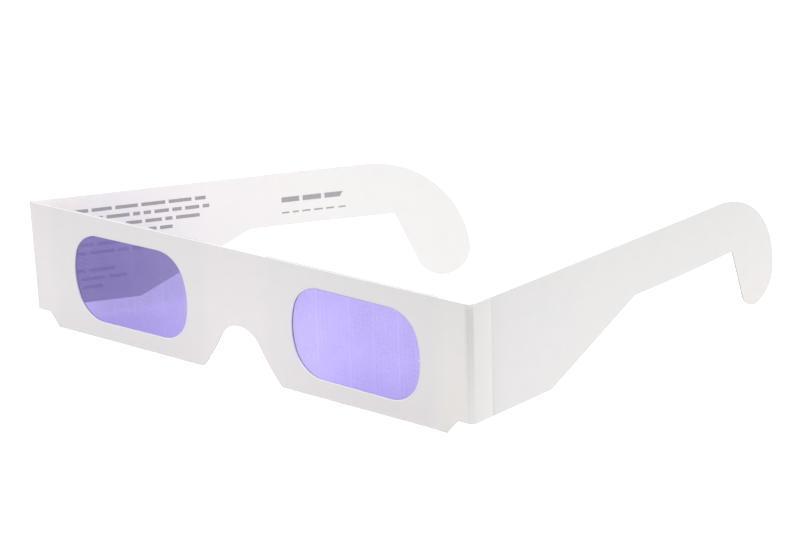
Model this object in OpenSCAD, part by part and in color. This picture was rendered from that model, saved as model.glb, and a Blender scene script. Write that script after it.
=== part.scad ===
// Folding card glasses with a light-bending film behind two rounded eye openings.
// One die-cut card makes the front, the two flaps behind it and both temples.
// The glasses stand open on a table. X runs to the wearer's left, Y runs back
// along the temples, Z is up. The origin lies on the outer face of the front,
// in the middle of the bridge and level with the centres of the eye openings.

/* [Card] */
// Thickness of the card
card_t = 0.45; // [0.3:0.05:0.6]

/* [Front] */
// Width of the front from one corner crease to the other
front_w = 144.2; // [138:0.2:156]
// Height of the front above the fold along its bottom
front_h = 35.2; // [33:0.2:40]
// Height of the eye line above the fold along the bottom
eye_h = 17.5; // [16:0.1:19]
// Height of the step at each bottom corner
lug_h = 4; // [2:0.2:6]
// Width of the front that is left between the step and the corner crease
lug_w = 4.1; // [3:0.1:6]
// How far the step's slanting side runs in at the bottom
step_run = 3.3; // [1:0.1:4]

/* [Eye openings] */
// Distance between the centres of the two eye openings
eye_pitch = 74.6; // [72:0.2:78]
// Width of an eye opening
eye_w = 39.8; // [34:0.2:42]
// Height of an eye opening
eye_open_h = 24.8; // [20:0.2:27]
// Corner radius of an eye opening
eye_r = 8.8; // [5:0.1:9.6]
// Radius of the upright sides of an eye opening, which bulge out
eye_side_r = 21.3; // [20:0.1:60]
// How far the long axis of an eye opening slopes down and outwards, in degrees
eye_droop = 0.7; // [0:0.1:3]

/* [Nose] */
// Width of the nose cut-out along the bottom
nose_w = 27; // [25:0.5:31]
// Height of the nose cut-out above the bottom
nose_h = 14.2; // [12:0.1:16]
// Radius of the round top of the nose cut-out
nose_r = 7; // [6:0.1:7.5]
// Radius at which the sides of the nose cut-out flare
nose_flare_r = 50; // [40:1:90]

/* [Flaps and film] */
// Width of the bridge between the flaps, where the card is single
bridge_w = 21; // [17:0.5:25]
// How far the outer edge of a flap stays inside the end of the bottom fold
flap_inset = 1.1; // [0.8:0.1:3]
// How far both flaps lie off centre, towards the wearer's right
flap_shift = 1; // [0:0.1:1.5]
// Thickness of the film
film_t = 0.1; // [0.05:0.01:0.2]
// Thickness of the glue coat between the film and the flap
glue_t = 0.05; // [0.03:0.01:0.1]
// How far the film and its glue stay inside the edges of the flap
film_inset = 0.6; // [0.3:0.1:1.5]
// How far the glue and the flap stay back from the rim of the eye opening
rim_gap = 0.3; // [0.1:0.1:1]

/* [Creases] */
// Half the width of the round crease at each corner
crease_half = 0.9; // [0.6:0.1:1.4]
// Distance from the corner crease to the second crease
strip_l = 7.1; // [6:0.1:10]
// Half the width of the second crease
score_half = 0.3; // [0.2:0.05:0.5]
// Depth of the groove pressed along the second crease
score_depth = 0.12; // [0.05:0.01:0.15]

/* [Temples] */
// Length of a temple from the corner crease to the outermost point of its hook
temple_l = 123.1; // [116:0.1:132]
// Height of the arm that runs back to the hook
arm_h = 15.4; // [13:0.2:18]
// Where the lower edge of the temple starts to rise
rise_start = 28; // [20:0.5:34]
// Where the lower edge reaches the arm
rise_end = 60.1; // [52:0.5:66]
// Where the ear gap ends at the hook
ear_end = 101.6; // [98:0.1:104]
// Radius of the back of the hook
hook_r = 29.4; // [24:0.2:31]
// Radius of the tip of the hook
tip_r = 7.9; // [7:0.1:9]
// How far the tip of the hook ends above the table
tip_lift = 0.3; // [0:0.1:1]
// Radius of the slight bow of each temple towards the head
bow_r = 435; // [300:5:700]
// Where the bow starts, along the lower edge of the arm
bow_start = 67; // [64:0.5:90]
// How far the line of the bow leans back from upright, in degrees
bow_tilt = 31; // [0:1:40]

/* [Standing pose] */
// Angle between the front and the wearer's left temple, in degrees
left_open = 99.6; // [75:0.2:150]
// Angle between the front and the wearer's right temple, in degrees
right_open = 51; // [45:0.5:150]

/* [Hidden] */

// Steps drawn round a full circle, and round the large ones of the flare and the bow
$fn = 96;
large_fn = 720;

// Sides, as a sign on X
left = 1;
right = -1;

card_white = "#F3F1F0";
crease_white = "#E6E4E3";
film_violet = "#A796F2";
glue_clear = "#EFE9D8";

// Heights
top_z = front_h - eye_h;
bottom_z = -eye_h;
lug_z = bottom_z + lug_h;
arm_z = top_z - arm_h;

// Places along the front
hinge_x = front_w / 2;
step_top_x = hinge_x - lug_w;
step_bottom_x = step_top_x - step_run;

// Layers of the front, from its outer face back
film_y = card_t;
glue_y = film_y + film_t;
flap_y = glue_y + glue_t;
fold_r_in = (film_t + glue_t) / 2;
fold_r_out = fold_r_in + card_t;
fold_z = bottom_z + fold_r_out;

// Nose cut-out: the round top touches a flare circle on each side
nose_top_c = nose_h - nose_r;
nose_foot = norm([nose_w / 2, nose_top_c]);
flare_reach = nose_r + nose_flare_r;
flare_turn = acos((flare_reach ^ 2 + nose_foot ^ 2 - nose_flare_r ^ 2)
    / (2 * flare_reach * nose_foot));
flare_dir = flare_turn - atan2(nose_top_c, nose_w / 2);
flare_x = flare_reach * cos(flare_dir);
flare_z = bottom_z + nose_top_c + flare_reach * sin(flare_dir);

// Hook: the back of the hook touches the top edge of the arm and the tip
tip_c = [temple_l - tip_r, bottom_z + tip_lift + tip_r];
back_z = top_z - hook_r;
back_s = tip_c.x - sqrt((hook_r - tip_r) ^ 2 - (back_z - tip_c.y) ^ 2);
back_c = [back_s, back_z];

// Room beyond the outlines, for cuts that run right through
past = 1;
half_reach = 200;

// Turn between neighbouring points of an arc, in degrees
arc_step = 4;

function open_angle(side) = side == left ? left_open : right_open;
function along(angle) = [cos(angle), sin(angle)];

// Outer and inner edge of a flap, as distances from the middle of the front
function flap_outer_x(side) = step_bottom_x - flap_inset - side * flap_shift;
function flap_inner_x(side) = bridge_w / 2 - side * flap_shift;

// Where the flare of the nose cut-out, grown by a margin, crosses a height
function flare_edge_x(z, grow) = flare_x - sqrt((nose_flare_r - grow) ^ 2 - (flare_z - z) ^ 2);

// Points along an arc that turns clockwise, a few degrees apart
function arc_points(centre, r, from, to) =
    let (steps = ceil((from - to) / arc_step))
    [for (i = [0:steps]) centre + r * along(from + (to - from) * i / steps)];

// Turns an outline drawn in X and Z into a sheet that starts at a depth
module sheet(depth, thickness)
    translate([0, depth + thickness, 0])
        rotate([90, 0, 0])
            linear_extrude(thickness)
                children();

module mirrored(side)
    mirror([side == right ? 1 : 0, 0, 0])
        children();

// Level top and bottom; the arc of each upright side touches the arcs of its corners
module bulging_rectangle(w, h, r, side_r) {
    side_c = w / 2 - side_r;
    corner_y = h / 2 - r;
    corner_reach = sqrt((side_r - r) ^ 2 - corner_y ^ 2);
    corner_x = side_c + corner_reach;
    square([2 * corner_x, h], center = true);
    for (x = [-1, 1]) {
        for (y = [-1, 1])
            translate([x * corner_x, y * corner_y])
                circle(r);
        intersection() {
            translate([x * side_c, 0])
                circle(side_r, $fn = large_fn);
            polygon([
                [x * side_c, 0],
                [x * (side_c + 2 * corner_reach), 2 * corner_y],
                [x * (side_c + 2 * corner_reach), -2 * corner_y]
            ]);
        }
    }
}

module eye_opening(grow = 0)
    translate([eye_pitch / 2, 0])
        rotate(-eye_droop)
            bulging_rectangle(eye_w + 2 * grow, eye_open_h + 2 * grow, eye_r + grow, eye_side_r + grow);

module nose_cut(grow = 0) {
    foot_x = flare_edge_x(bottom_z, grow);
    shoulder = [0, bottom_z + nose_top_c] + (nose_r + grow) * along(flare_dir);
    difference() {
        union() {
            translate([0, bottom_z + nose_top_c])
                circle(nose_r + grow);
            polygon([
                [-foot_x, bottom_z - past], [foot_x, bottom_z - past], [foot_x, bottom_z],
                shoulder, [-shoulder.x, shoulder.y], [-foot_x, bottom_z]
            ]);
        }
        for (side = [left, right])
            translate([side * flare_x, flare_z])
                circle(nose_flare_r - grow, $fn = large_fn);
    }
}

// The card of the front between the two corner creases
module front_outline() {
    end_x = hinge_x - crease_half;
    difference() {
        polygon([
            [-end_x, top_z], [end_x, top_z], [end_x, lug_z], [step_top_x, lug_z],
            [step_bottom_x, bottom_z], [-step_bottom_x, bottom_z],
            [-step_top_x, lug_z], [-end_x, lug_z]
        ]);
        nose_cut();
        for (side = [left, right])
            mirrored(side) {
                eye_opening();
                translate([0, bottom_z - past])
                    square([flap_outer_x(side), fold_r_out + past]);
            }
    }
}

// A flap, the film and the glue share one outline, drawn in by a margin
module flap_outline(side, margin)
    difference() {
        translate([flap_inner_x(side) + margin, fold_z + margin])
            square([
                flap_outer_x(side) - flap_inner_x(side) - 2 * margin,
                top_z - fold_z - 2 * margin
            ]);
        nose_cut(margin);
    }

module back_flap(side)
    mirrored(side)
        sheet(flap_y, card_t)
            difference() {
                flap_outline(side, 0);
                eye_opening(rim_gap);
            }

module lens_film(side)
    mirrored(side)
        sheet(film_y, film_t)
            flap_outline(side, film_inset);

module glue_coat(side)
    mirrored(side)
        sheet(glue_y, glue_t)
            difference() {
                flap_outline(side, film_inset);
                eye_opening(rim_gap);
            }

// Half a ring of card, rolled along the bottom from the nose to the flap's outer edge
module bottom_fold(side) {
    fold_l = flap_outer_x(side);
    mirrored(side)
        difference() {
            translate([0, fold_r_out, fold_z])
                rotate([0, 90, 0])
                    rotate([0, 0, -90])
                        rotate_extrude(angle = 180)
                            translate([fold_r_in, 0])
                                square([card_t, fold_l]);
            sheet(-past, 2 * fold_r_out + 2 * past)
                nose_cut();
        }
}

// The card bends here, evenly round, from the front to the hinge strip
module corner_crease(side) {
    bend = 180 - open_angle(side);
    bend_r = crease_half / tan(bend / 2);
    mirrored(side)
        translate([hinge_x - crease_half, card_t + bend_r, lug_z])
            rotate([0, 0, -90])
                rotate_extrude(angle = bend)
                    translate([bend_r, 0])
                        square([card_t, top_z - lug_z]);
}

// At the corner crease, Y runs along the temple and the card's inner face is at X = 0
module at_hinge(side)
    mirrored(side)
        translate([hinge_x, card_t, 0])
            rotate([0, 0, 90 - open_angle(side)])
                children();

module hinge_strip(side)
    at_hinge(side)
        translate([0, crease_half, lug_z])
            cube([card_t, strip_l - score_half - crease_half, top_z - lug_z]);

// A narrow strip of card with a groove pressed into its outer face
module temple_crease(side)
    at_hinge(side)
        translate([0, strip_l, lug_z])
            linear_extrude(top_z - lug_z)
                polygon([
                    [0, -score_half], [card_t, -score_half], [card_t - score_depth, 0],
                    [card_t, score_half], [0, score_half]
                ]);

// Side view of the temple: X is the distance from the corner crease
module temple_outline() {
    start = strip_l + score_half;
    touch_dir = atan2(tip_c.y - back_c.y, tip_c.x - back_c.x);
    // The front edge of the hook runs from the ear gap to where it touches the tip
    ear = [ear_end, arm_z];
    edge_dir = atan2(tip_c.y - ear.y, tip_c.x - ear.x) - asin(tip_r / norm(tip_c - ear));
    polygon(concat(
        [[start, top_z]],
        arc_points(back_c, hook_r, 90, touch_dir),
        arc_points(tip_c, tip_r, touch_dir, edge_dir - 90),
        [ear, [rise_end, arm_z], [rise_start, lug_z], [start, lug_z]]
    ));
}

// Card seen along the line of the bow: straight, then round with the bow's radius
module bow_profile() {
    translate([-half_reach, -card_t])
        square([half_reach, card_t]);
    intersection() {
        translate([0, bow_r])
            difference() {
                circle(bow_r + card_t, $fn = large_fn);
                circle(bow_r, $fn = large_fn);
            }
        translate([0, -card_t])
            square([half_reach, half_reach]);
    }
}

module bowed_sheet()
    translate([0, bow_start, arm_z])
        rotate([-bow_tilt, 0, 0])
            rotate([0, 0, 90])
                linear_extrude(half_reach, center = true)
                    bow_profile();

module temple(side)
    at_hinge(side)
        intersection() {
            rotate([90, 0, 90])
                linear_extrude(half_reach, center = true)
                    temple_outline();
            bowed_sheet();
        }

module front_panel()
    color(card_white)
        sheet(0, card_t)
            front_outline();

module left_back_flap() color(card_white) back_flap(left);
module right_back_flap() color(card_white) back_flap(right);
module left_bottom_fold() color(crease_white) bottom_fold(left);
module right_bottom_fold() color(crease_white) bottom_fold(right);
module left_lens_film() color(film_violet, 0.8) lens_film(left);
module right_lens_film() color(film_violet, 0.8) lens_film(right);
module left_glue_coat() color(glue_clear) glue_coat(left);
module right_glue_coat() color(glue_clear) glue_coat(right);
module left_corner_crease() color(crease_white) corner_crease(left);
module right_corner_crease() color(crease_white) corner_crease(right);
module left_hinge_strip() color(card_white) hinge_strip(left);
module right_hinge_strip() color(card_white) hinge_strip(right);
module left_temple_crease() color(crease_white) temple_crease(left);
module right_temple_crease() color(crease_white) temple_crease(right);
module left_temple() color(card_white) temple(left);
module right_temple() color(card_white) temple(right);

front_panel();
left_back_flap();
right_back_flap();
left_bottom_fold();
right_bottom_fold();
left_lens_film();
right_lens_film();
left_glue_coat();
right_glue_coat();
left_corner_crease();
right_corner_crease();
left_hinge_strip();
right_hinge_strip();
left_temple_crease();
right_temple_crease();
left_temple();
right_temple();
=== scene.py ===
# %% [markdown]
# # Folding card glasses
# The object is one die-cut sheet of white paperboard. Creases let its panels
# fold, and two pieces of violet film close the eye openings. The CAD model
# already holds every flat panel, so this scene gives the panels their board and
# film. By hand it makes what bends or is too fine for CAD: the four creases, the
# rims of the openings and the printed strokes. All lengths are in metres, in the
# CAD model's own frame: X to the wearer's left, Y back along the temples, Z up,
# with the origin on the bridge.

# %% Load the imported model
import math

import bmesh
import bpy
from mathutils import Matrix, Vector


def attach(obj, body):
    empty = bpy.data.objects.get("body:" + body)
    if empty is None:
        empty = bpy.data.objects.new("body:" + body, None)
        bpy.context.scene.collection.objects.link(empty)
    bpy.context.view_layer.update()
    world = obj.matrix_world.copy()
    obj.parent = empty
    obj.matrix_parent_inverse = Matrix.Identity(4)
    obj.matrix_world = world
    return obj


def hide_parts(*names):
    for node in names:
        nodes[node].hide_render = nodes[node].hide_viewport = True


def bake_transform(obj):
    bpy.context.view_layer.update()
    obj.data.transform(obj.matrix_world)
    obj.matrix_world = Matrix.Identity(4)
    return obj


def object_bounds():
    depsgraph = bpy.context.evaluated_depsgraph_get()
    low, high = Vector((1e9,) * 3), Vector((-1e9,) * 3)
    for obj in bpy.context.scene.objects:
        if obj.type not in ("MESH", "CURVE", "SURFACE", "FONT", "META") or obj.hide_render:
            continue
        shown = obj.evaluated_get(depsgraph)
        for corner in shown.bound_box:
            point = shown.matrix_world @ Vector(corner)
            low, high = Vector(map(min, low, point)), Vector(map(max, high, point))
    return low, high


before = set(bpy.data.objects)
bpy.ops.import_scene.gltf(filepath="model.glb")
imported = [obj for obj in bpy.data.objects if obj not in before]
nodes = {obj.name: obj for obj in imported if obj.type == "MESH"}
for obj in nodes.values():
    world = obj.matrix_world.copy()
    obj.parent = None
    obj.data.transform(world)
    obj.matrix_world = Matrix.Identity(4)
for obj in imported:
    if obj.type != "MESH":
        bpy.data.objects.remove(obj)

MM = 0.001
cad_low, cad_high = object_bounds()
print("CAD box in mm:", [round((high - low) / MM, 1) for low, high in zip(cad_low, cad_high)])

# %% [markdown]
# ## Helpers
# Colours are written as hex values, as a colour picker shows them. Shaders work
# in linear light, so one function turns each value over. The second adds a node
# of any kind: it sets the node's settings, then fills its inputs. An input that is
# another node, or one of its outputs, gets a link. Stops are the colours of a
# colour ramp. One more turns a finished bmesh into a piece.

# %% Colour and node helpers
def linear(hex_value):
    """Turns "#RRGGBB" into linear red, green, blue and a full alpha."""
    channels = [int(hex_value[i:i + 2], 16) / 255 for i in (1, 3, 5)]
    return [c / 12.92 if c <= 0.04045 else ((c + 0.055) / 1.055) ** 2.4 for c in channels] + [1.0]


def add_node(tree, kind, inputs=None, stops=None, **settings):
    """Adds a node. A node given as an input stands for its first output that is in use."""
    node = tree.nodes.new(kind)
    for name, value in settings.items():
        setattr(node, name, value)
    for key, value in (inputs or {}).items():
        if isinstance(value, bpy.types.Node):
            value = next(output for output in value.outputs if output.enabled)
        if isinstance(value, bpy.types.NodeSocket):
            tree.links.new(value, node.inputs[key])
        else:
            node.inputs[key].default_value = value
    if stops:
        elements = node.color_ramp.elements
        elements.remove(elements[1])
        elements[0].position, elements[0].color = stops[0][0], linear(stops[0][1])
        for position, colour in stops[1:]:
            elements.new(position).color = linear(colour)
    return node


def new_material(name):
    """An empty material, its node tree, and the coordinates that its nodes can read."""
    material = bpy.data.materials.new(name)
    material.use_nodes = True
    tree = material.node_tree
    tree.nodes.clear()
    return material, tree, add_node(tree, "ShaderNodeTexCoord").outputs


print("mid grey in linear light:", round(linear("#808080")[0], 3))

# %% Mesh helper
def add_piece(name, bm, materials, uv_places=None, sharp_degrees=None):
    """Makes a piece of a bmesh. uv_places: each vertex's place on the UV map, for a smooth
    piece that has one."""
    bmesh.ops.recalc_face_normals(bm, faces=bm.faces)
    if uv_places:
        uv_layer = bm.loops.layers.uv.active
        for face in bm.faces:
            face.smooth = True
            for loop in face.loops:
                loop[uv_layer].uv = uv_places[loop.vert]
    mesh = bpy.data.meshes.new(name)
    bm.to_mesh(mesh)
    bm.free()
    if sharp_degrees:
        mesh.set_sharp_from_angle(angle=math.radians(sharp_degrees))
    for material in materials:
        mesh.materials.append(material)
    piece = bpy.data.objects.new(name, mesh)
    bpy.context.scene.collection.objects.link(piece)
    print(name, "has", len(mesh.polygons), "faces")
    return piece


# %% [markdown]
# ## Camera
# The photograph was taken from in front, to the wearer's left and from above,
# with a long lens. The place and the three directions below come from fitting a
# camera to the outlines of the front and of both temples.

# %% Camera at the photograph's viewing angle
PHOTO_WIDTH = 800
FOCAL_PIXELS = 2323
SENSOR_MM = 36
camera_place = Vector((0.36275, -0.42068, 0.22197))
camera_right = Vector((0.81059, 0.58488, -0.02922))
camera_ahead = Vector((-0.55546, 0.75209, -0.35469))
camera_up = camera_right.cross(camera_ahead).normalized()

camera_data = bpy.data.cameras.new("photo_camera")
camera_data.sensor_width = SENSOR_MM
camera_data.lens = SENSOR_MM * FOCAL_PIXELS / PHOTO_WIDTH
camera_data.clip_start = 0.01
camera = bpy.data.objects.new("photo_camera", camera_data)
turn = Matrix((camera_right, camera_up, -camera_ahead)).transposed()
camera.matrix_world = Matrix.Translation(camera_place) @ turn.to_4x4()
bpy.context.scene.collection.objects.link(camera)
bpy.context.scene.camera = camera
print("lens in mm:", round(camera_data.lens, 2))

# %% [markdown]
# ## Floor and light
# The glasses stand on a white table in a light tent, and the photograph shows the
# table brighter than white. The floor here is a plain white surface that takes
# light and shadow. Only where the camera looks at it, straight or through the
# film, its colour counts double, and a little less on the wearer's right and
# towards the back. That is why the film looks so bright over the table and so much
# darker over a temple. For light on the object, the floor stays plain white. The
# lesser part on the wearer's right and towards the back is painted shade: the
# right temple's shade on the table, and a shade that deepens towards the back.

# %% Floor
FLOOR_HALF = 3.0
FLOOR_WHITE = 1.0
# Painted shade on the table: it is shown darker towards the right temple, from NEAR_X to FAR_X,
# and towards the back, from FRONT_Y to BACK_Y.
NEAR_X, FAR_X = -0.005, -0.055
NEAR_SHOWN, FAR_SHOWN = 2.0, 1.56
FRONT_Y, BACK_Y = 0.01, 0.06
FRONT_GAIN, BACK_GAIN = 1.06, 0.94
floor_mesh = bpy.data.meshes.new("floor")
floor_mesh.from_pydata(
    [(x * FLOOR_HALF, y * FLOOR_HALF, cad_low.z) for x, y in ((-1, -1), (1, -1), (1, 1), (-1, 1))],
    [], [(0, 1, 2, 3)])
floor = bpy.data.objects.new("floor", floor_mesh)
bpy.context.scene.collection.objects.link(floor)
print("floor at Z in mm:", round(cad_low.z / MM, 2))

# %% Table material
def seen_by_camera(tree):
    """1 for a ray that the camera, a reflection or a clear piece sends out, else 0."""
    rays = add_node(tree, "ShaderNodeLightPath").outputs
    seen = rays["Is Camera Ray"]
    for kind in ("Is Glossy Ray", "Is Transmission Ray"):
        seen = add_node(tree, "ShaderNodeMath", {0: seen, 1: rays[kind]}, operation="MAXIMUM")
    return seen


floor_material, tree, place = new_material("matt_white_table")
axes = add_node(tree, "ShaderNodeSeparateXYZ", {0: place["Object"]})
shown = add_node(tree, "ShaderNodeMapRange", {
    "Value": axes.outputs["X"], "From Min": FAR_X, "From Max": NEAR_X,
    "To Min": FAR_SHOWN, "To Max": NEAR_SHOWN})
# Painted shade: the table is shown darker towards the back.
painted_shade_to_back = add_node(tree, "ShaderNodeMapRange", {
    "Value": axes.outputs["Y"], "From Min": FRONT_Y, "From Max": BACK_Y,
    "To Min": FRONT_GAIN, "To Max": BACK_GAIN})
shown = add_node(tree, "ShaderNodeMath", {0: shown, 1: painted_shade_to_back}, operation="MULTIPLY")
white = add_node(tree, "ShaderNodeMapRange", {
    "Value": seen_by_camera(tree), "To Min": FLOOR_WHITE, "To Max": shown})
matt = add_node(tree, "ShaderNodeBsdfDiffuse", {"Color": white})
add_node(tree, "ShaderNodeOutputMaterial", {"Surface": matt})
floor_mesh.materials.append(floor_material)
print("table:", floor_material.name)

# %% World
WORLD_LIGHT = 0.915
WORLD_SHOWN = 1.6
world = bpy.data.worlds.new("light_tent")
bpy.context.scene.world = world
world.use_nodes = True
tree = world.node_tree
tree.nodes.clear()
level = add_node(tree, "ShaderNodeMapRange", {
    "Value": seen_by_camera(tree), "To Min": WORLD_LIGHT, "To Max": WORLD_SHOWN})
sky = add_node(tree, "ShaderNodeBackground", {"Color": linear("#FFFFFF"), "Strength": level})
add_node(tree, "ShaderNodeOutputWorld", {"Surface": sky})
print("world:", world.name)

# %% Softbox
SOFTBOX_PLACE, SOFTBOX_TARGET = Vector((0.5, -0.36, 0.77)), Vector((0, 0.04, 0))
softbox = bpy.data.lights.new("softbox_right", "AREA")
softbox.shape = "SQUARE"
softbox.size = 0.9
softbox.energy = 1.85
lamp = bpy.data.objects.new("softbox_right", softbox)
lamp.location = SOFTBOX_PLACE
lamp.rotation_euler = (SOFTBOX_TARGET - SOFTBOX_PLACE).to_track_quat("-Z", "Y").to_euler()
bpy.context.scene.collection.objects.link(lamp)
bpy.context.scene.view_settings.view_transform = "Standard"
print("softbox in W:", softbox.energy)

# %% [markdown]
# ## Where the panels stand
# The front is flat, along X. Each temple turns about its corner crease, so the
# temple's own directions come from the angle between it and the front: one points
# out of the card, away from the head, and one runs along the temple.

# %% Directions of the temples
LEFT, RIGHT = 1, -1
SIDE_NAMES = {LEFT: "left", RIGHT: "right"}
OPEN_DEGREES = {LEFT: 99.6, RIGHT: 51}
X_AXIS, OUT_OF_FRONT, MIDDLE = Vector((1, 0, 0)), Vector((0, -1, 0)), Vector((0, 0, 0))
CARD_MM = 0.45
HINGE_X_MM = 72.1
CREASE_HALF_MM = 0.9
BOTTOM_Z_MM, TOP_Z_MM = -17.5, 17.7


def temple_frame(side):
    """The corner crease's place, in mm, and the temple's outward and lengthwise directions."""
    turn = math.radians(90 - OPEN_DEGREES[side])
    corner = Vector((side * HINGE_X_MM, CARD_MM, 0))
    outward = Vector((side * math.cos(turn), math.sin(turn), 0))
    along = Vector((-side * math.sin(turn), math.cos(turn), 0))
    return corner, outward, along


for side in (LEFT, RIGHT):
    print(SIDE_NAMES[side], [tuple(round(c, 3) for c in v) for v in temple_frame(side)])

# %% [markdown]
# ## Paperboard
# Folding boxboard, coated white and left unprinted on its outside. The coating
# gives a smooth matt face with very faint clouds, a few millimetres wide, from the
# pulp below. The inner face is the whiter, printable side, and the cut edges show
# the bare pulp, which is rougher and a little warmer. A shader can tell the three
# apart by the direction in which a face points, because the panels are flat. On a
# cut edge it paints light and shade: lighter where the edge faces up, darker where
# it faces sideways.
# Light also comes through the card, so a place where it lies double looks a trace
# greyer: a colour ramp along the panel paints that light. The same ramp paints
# shade on the front towards its left corner. A second ramp, from the bottom edge to
# the top one, is painted light: the board is lighter towards the bottom.

# %% Tones along and up a panel
def tone_along(tree, place, corner, along, stops):
    """A colour ramp over the distance, in mm, from corner in the direction along."""
    offset = add_node(tree, "ShaderNodeVectorMath", {
        0: place["Object"], 1: corner * MM}, operation="SUBTRACT")
    reach = add_node(tree, "ShaderNodeVectorMath", {
        0: offset, 1: along}, operation="DOT_PRODUCT")
    first, last = stops[0][0], stops[-1][0]
    share = add_node(tree, "ShaderNodeMapRange", {
        "Value": reach, "From Min": first * MM, "From Max": last * MM})
    return add_node(tree, "ShaderNodeValToRGB", {"Fac": share}, stops=[
        ((distance - first) / (last - first), colour) for distance, colour in stops])


def coat_and_painted_light(tree, place, corner, along, stops, height_stops):
    """The coating's colour with painted light and shade: the ramp along the panel times
    one from its bottom edge, 0, to its top edge, 1."""
    axes = add_node(tree, "ShaderNodeSeparateXYZ", {0: place["Object"]})
    height = add_node(tree, "ShaderNodeMapRange", {
        "Value": axes.outputs["Z"], "From Min": BOTTOM_Z_MM * MM, "From Max": TOP_Z_MM * MM})
    by_height = add_node(tree, "ShaderNodeValToRGB", {"Fac": height}, stops=height_stops)
    return add_node(tree, "ShaderNodeVectorMath", {
        0: tone_along(tree, place, corner, along, stops), 1: by_height}, operation="MULTIPLY")


# %% [markdown]
# Painted shade greys the coating for about a millimetre beside the fold at the
# left corner, most at the top of the card.

# %% Painted shade beside a crease
CREASE_SHADE_MM = 1.1
CREASE_SHADE_GREY = "#F3F3F3"
CREASE_SHADE_FOOT_Z_MM, CREASE_SHADE_HEAD_Z_MM = -10, 12
CREASE_SHADE_FOOT_SHARE = 0.25


def painted_shade_by_crease(tree, place):
    """The tone that multiplies the coating's colour: white, and a grey of painted shade beside the
    crease.
    """
    start_mm = HINGE_X_MM - CREASE_HALF_MM
    axes = add_node(tree, "ShaderNodeSeparateXYZ", {0: place["Object"]})
    near = add_node(tree, "ShaderNodeMapRange", {
        "Value": axes.outputs["X"],
        "From Min": (start_mm - CREASE_SHADE_MM) * MM, "From Max": start_mm * MM},
        interpolation_type="SMOOTHSTEP")
    high = add_node(tree, "ShaderNodeMapRange", {
        "Value": axes.outputs["Z"],
        "From Min": CREASE_SHADE_FOOT_Z_MM * MM, "From Max": CREASE_SHADE_HEAD_Z_MM * MM,
        "To Min": CREASE_SHADE_FOOT_SHARE})
    amount = add_node(tree, "ShaderNodeMath", {0: near, 1: high}, operation="MULTIPLY")
    return add_node(tree, "ShaderNodeMix", {
        "Factor": amount, "A": linear("#FFFFFF"), "B": linear(CREASE_SHADE_GREY)}, data_type="RGBA")


# %% Board material
BOARD_IOR = 1.45
CLOUD_MM = 4.0
CLOUD_LOW, CLOUD_HIGH = 0.985, 1.03
FIBRE_MM = 0.35
FIBRE_RELIEF_MM = 0.02
COAT_RELIEF, PULP_RELIEF = 0.15, 0.6
COAT_ROUGH, PULP_ROUGH = 0.5, 0.85
FACE_MIN = 0.5  # a face that leans less than this towards either side is a cut edge
# Painted light and shade: a cut edge that faces up is lighter, one that faces sideways or down
# darker.
LIT_PULP, SHADED_PULP = "#FBF9FA", "#CCC8CA"


def paperboard(name, outer_stops, inner_stops, facing, corner, along, height_stops,
               pulp_up=LIT_PULP, crease_shaded=False):
    """facing: the direction that the panel's coated outer face looks in.
    height_stops: the tones from bottom to top that multiply the outer face's colour,
    painted light that makes it lighter towards the bottom.
    crease_shaded: whether the coating gets painted shade beside the left corner crease."""
    material, tree, place = new_material(name)
    outer = coat_and_painted_light(tree, place, corner, along, outer_stops, height_stops)
    if crease_shaded:
        outer = add_node(tree, "ShaderNodeVectorMath", {
            0: outer, 1: painted_shade_by_crease(tree, place)}, operation="MULTIPLY")
    inner = tone_along(tree, place, corner, along, inner_stops)
    lean = add_node(tree, "ShaderNodeVectorMath", {
        0: place["Normal"], 1: facing}, operation="DOT_PRODUCT")
    is_inner = add_node(tree, "ShaderNodeMath", {0: lean, 1: -FACE_MIN}, operation="LESS_THAN")
    turned = add_node(tree, "ShaderNodeMath", {0: lean}, operation="ABSOLUTE")
    is_cut = add_node(tree, "ShaderNodeMath", {0: turned, 1: FACE_MIN}, operation="LESS_THAN")
    upward = add_node(tree, "ShaderNodeSeparateXYZ", {0: place["Normal"]}).outputs["Z"]
    pulp = add_node(tree, "ShaderNodeValToRGB", {"Fac": upward},
                    stops=[(0.1, SHADED_PULP), (0.7, pulp_up)])
    clouds = add_node(tree, "ShaderNodeTexNoise", {
        "Vector": place["Object"], "Scale": 1 / (CLOUD_MM * MM), "Detail": 3.0})
    fibres = add_node(tree, "ShaderNodeTexNoise", {
        "Vector": place["Object"], "Scale": 1 / (FIBRE_MM * MM), "Detail": 2.0})
    colour = add_node(tree, "ShaderNodeMix", {
        "Factor": is_inner, "A": outer, "B": inner}, data_type="RGBA")
    colour = add_node(tree, "ShaderNodeMix", {
        "Factor": is_cut, "A": colour, "B": pulp}, data_type="RGBA")
    cloudy = add_node(tree, "ShaderNodeMapRange", {
        "Value": clouds, "To Min": CLOUD_LOW, "To Max": CLOUD_HIGH})
    colour = add_node(tree, "ShaderNodeVectorMath", {
        0: colour, "Scale": cloudy}, operation="SCALE")
    rough = add_node(tree, "ShaderNodeMapRange", {
        "Value": is_cut, "To Min": COAT_ROUGH, "To Max": PULP_ROUGH})
    depth = add_node(tree, "ShaderNodeMapRange", {
        "Value": is_cut, "To Min": COAT_RELIEF, "To Max": PULP_RELIEF})
    relief = add_node(tree, "ShaderNodeBump", {
        "Strength": depth, "Distance": FIBRE_RELIEF_MM * MM, "Height": fibres})
    board = add_node(tree, "ShaderNodeBsdfPrincipled", {
        "Base Color": colour, "Roughness": rough, "Normal": relief, "IOR": BOARD_IOR})
    add_node(tree, "ShaderNodeOutputMaterial", {"Surface": board})
    return material


def dress(node_name, material):
    """Gives a CAD node its material and keeps its shape."""
    slots = nodes[node_name].data.materials
    slots.clear()
    slots.append(material)
    print(node_name, "is", material.name)


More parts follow.
